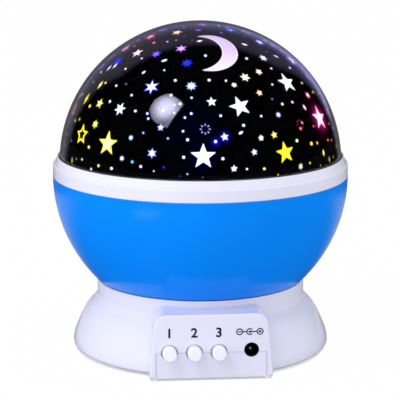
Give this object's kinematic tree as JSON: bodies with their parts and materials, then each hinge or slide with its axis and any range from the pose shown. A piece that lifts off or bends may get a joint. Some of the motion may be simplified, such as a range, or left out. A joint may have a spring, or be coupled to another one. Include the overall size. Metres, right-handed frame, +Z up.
{
  "type": "star night light projector",
  "caption": "Ball-shaped night light: a printed star dome over a bowl that turns on a round base with push buttons and a power inlet, lit from a still post inside.",
  "frame": {"origin": "on the ground under the globe's axis", "axes": "+Z up along the globe's axis, -Y out of the control panel, +X to the right of someone facing it"},
  "size_m": [0.13, 0.13, 0.1445],
  "materials": {
    "white_plastic": "glossy moulded ABS, faintly lavender white",
    "blue_plastic": "glossy azure moulded ABS",
    "clear_dome": "clear polystyrene, polished",
    "black_print": "thin film printed black, with clear stars and a moon",
    "button_white": "glossy moulded caps",
    "black_plastic": "moulded black nylon",
    "rubber": "soft black rubber",
    "steel": "zinc plated steel",
    "spring_steel": "nickel plated spring wire and strip",
    "circuit_board": "green glass-fibre board",
    "lamp_board_white": "white circuit board",
    "cell_case": "plain sleeved dry cell",
    "motor_case": "plated steel can",
    "nylon": "natural acetal, dry running",
    "lamp_red": "tinted epoxy",
    "lamp_green": "tinted epoxy",
    "lamp_blue": "tinted epoxy",
    "lamp_white": "water clear epoxy",
    "lead_jacket": "PVC covered wires, bundled"
  },
  "bodies": {
    "base": {"base_shell": "white_plastic", "bottom_cover": "white_plastic", "cover_screws": "steel", "rubber_feet": "rubber", "cell_1": "cell_case", "cell_2": "cell_case", "cell_3": "cell_case", "cell_4": "cell_case", "cell_contacts": "spring_steel", "cell_springs": "spring_steel", "control_board": "circuit_board", "board_screws": "steel", "switch_1": "black_plastic", "switch_2": "black_plastic", "switch_3": "black_plastic", "power_inlet": "black_plastic", "inlet_pin": "spring_steel", "gear_motor": "motor_case", "motor_screws": "steel", "hub_bush": "nylon", "glide_ring": "nylon", "lamp_post": "white_plastic", "post_screws": "steel", "lamp_board": "lamp_board_white", "lamp_board_screws": "steel", "lamp_red": "lamp_red", "lamp_green": "lamp_green", "lamp_blue": "lamp_blue", "lamp_white": "lamp_white", "battery_leads": "lead_jacket", "motor_leads": "lead_jacket", "lamp_leads": "lead_jacket"},
    "globe": {"bowl": "blue_plastic", "trim_ring": "white_plastic", "reflector_deck": "white_plastic", "deck_screws": "steel", "drive_gear": "nylon", "gear_screws": "steel"},
    "dome": {"dome_shell": "clear_dome", "star_film": "black_print"},
    "pinion": {"drive_pinion": "nylon", "motor_shaft": "steel"},
    "battery_door": {"battery_door": "white_plastic", "door_screw": "steel"},
    "button_1": {"button_1": "button_white", "plunger_1": "black_plastic"},
    "button_2": {"button_2": "button_white", "plunger_2": "black_plastic"},
    "button_3": {"button_3": "button_white", "plunger_3": "black_plastic"}
  },
  "joints": [
    {"name": "globe_spin", "type": "hinge", "parent": "base", "child": "globe", "pos_m": [0, 0, 0.0773], "axis": [0, 0, 1], "continuous": true},
    {"name": "dome_lift", "type": "slide", "parent": "globe", "child": "dome", "axis": [0, 0, 1], "range_m": [0, 0.07]},
    {"name": "pinion_spin", "type": "hinge", "parent": "base", "child": "pinion", "pos_m": [0, -0.0248, 0.0203], "axis": [0, 0, 1], "continuous": true},
    {"name": "door_pull", "type": "slide", "parent": "base", "child": "battery_door", "axis": [0, 0, -1], "range_m": [0, 0.03]},
    {"name": "button_1_press", "type": "slide", "parent": "base", "child": "button_1", "axis": [0, 1, 0], "range_m": [0, 0.0015], "stiffness_N_per_m": 500, "springref_m": -0.001},
    {"name": "button_2_press", "type": "slide", "parent": "base", "child": "button_2", "axis": [0, 1, 0], "range_m": [0, 0.0015], "stiffness_N_per_m": 500, "springref_m": -0.001},
    {"name": "button_3_press", "type": "slide", "parent": "base", "child": "button_3", "axis": [0, 1, 0], "range_m": [0, 0.0015], "stiffness_N_per_m": 500, "springref_m": -0.001}
  ],
  "couplings": [
    {"joint": "pinion_spin", "follows": "globe_spin", "ratio": -3.4286}
  ]
}
